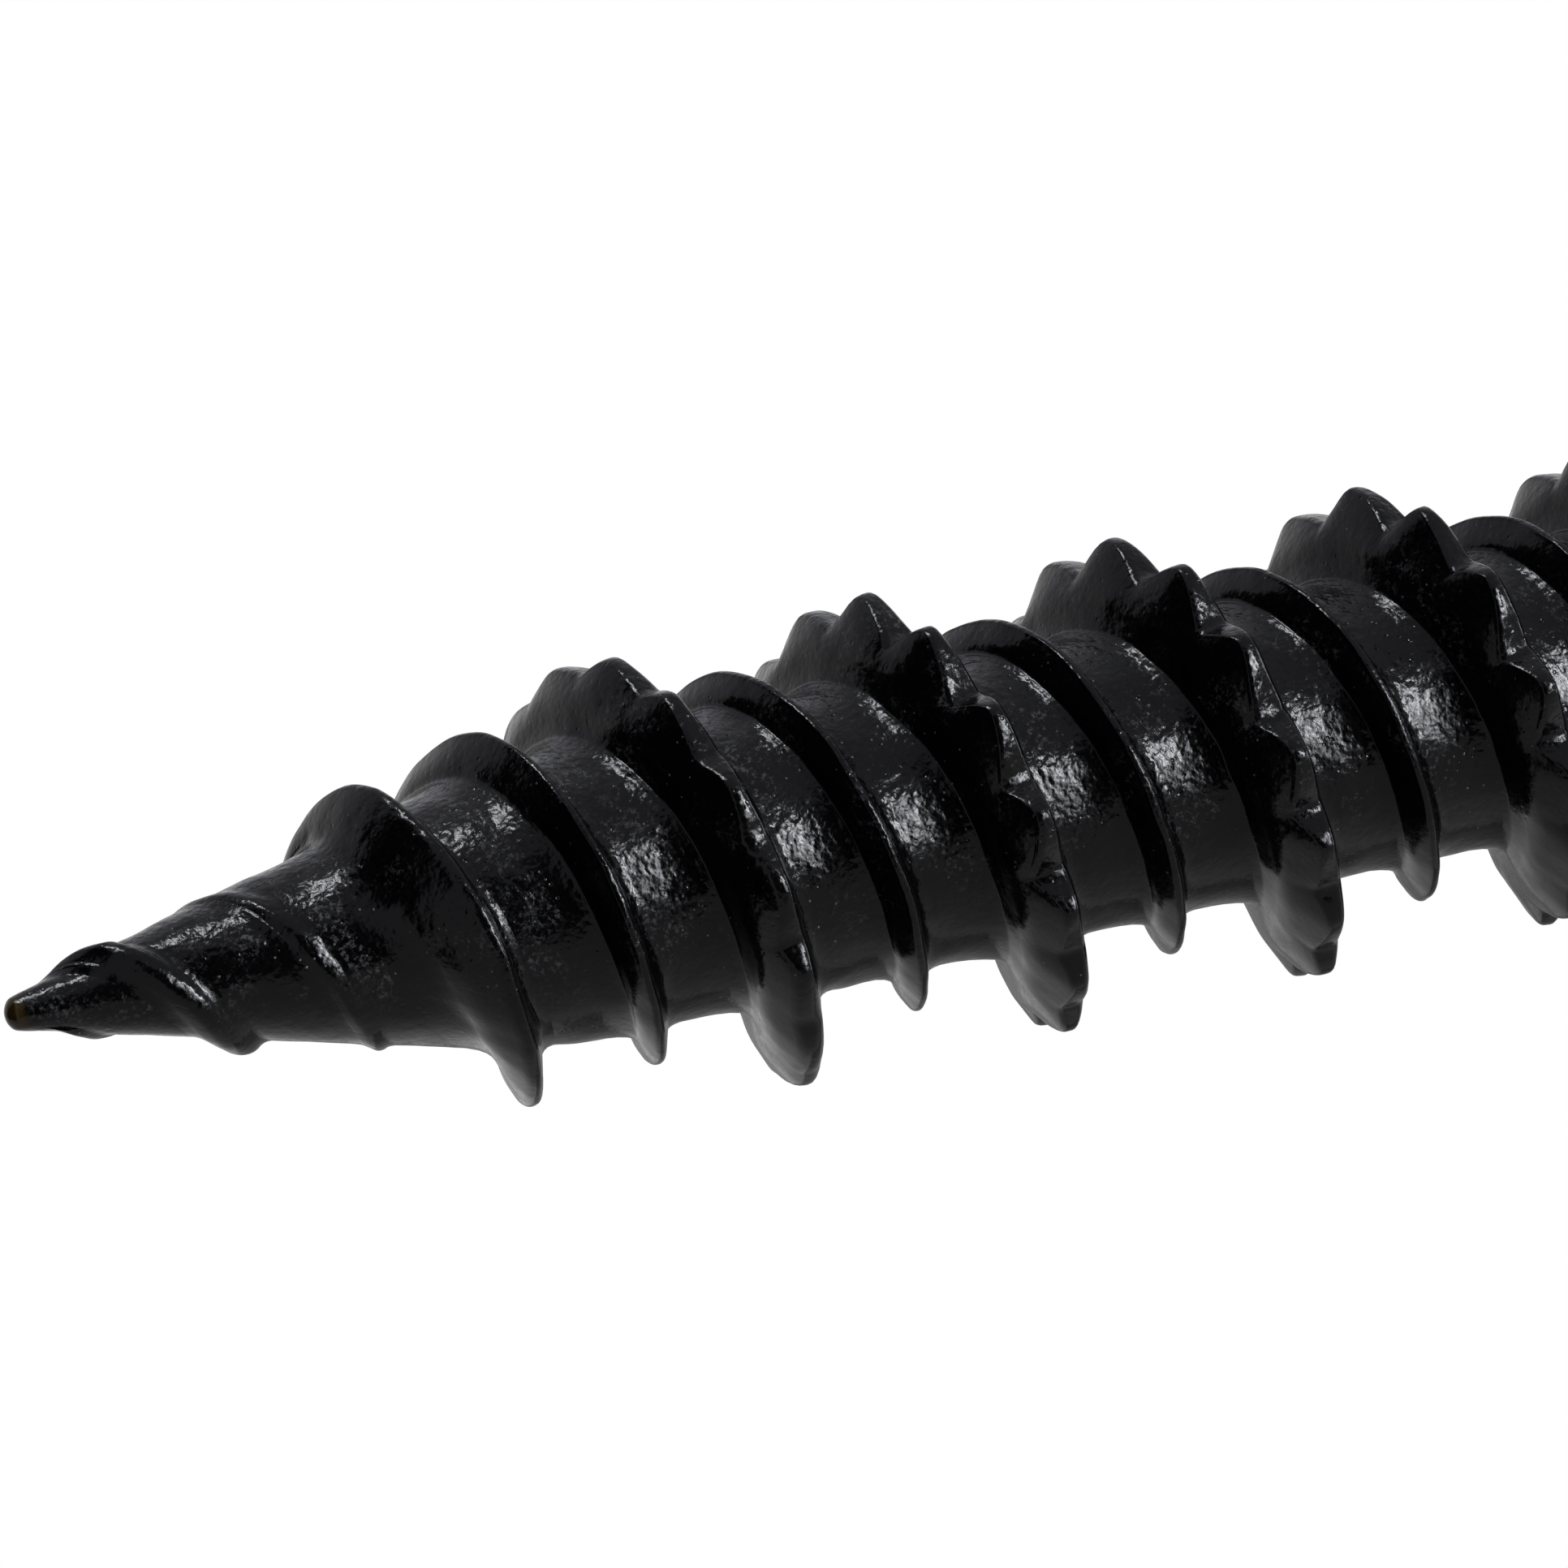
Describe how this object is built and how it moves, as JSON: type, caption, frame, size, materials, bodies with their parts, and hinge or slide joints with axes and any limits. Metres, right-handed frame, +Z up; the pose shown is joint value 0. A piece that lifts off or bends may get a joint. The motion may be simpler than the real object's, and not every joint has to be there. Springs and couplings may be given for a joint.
{
  "type": "wood screw",
  "caption": "Countersunk wood screw with a star-shaped drive socket, a short smooth shank, a saw-toothed high thread beside a smooth low thread, and a sharp cone point.",
  "frame": {"origin": "centre of the head's flat top, at the mouth of the drive socket", "axes": "+X along the screw's axis from its point to its head and out of the drive socket; +Z up with the screw lying level"},
  "size_m": [0.06, 0.0118, 0.0118],
  "materials": {
    "black_coat": "gloss",
    "point_coat": "gloss, worn at the tip"
  },
  "bodies": {
    "root": {"head": "black_coat", "shank": "black_coat", "thread_core": "black_coat", "point": "point_coat", "high_thread": "black_coat", "low_thread": "black_coat"}
  },
  "joints": []
}
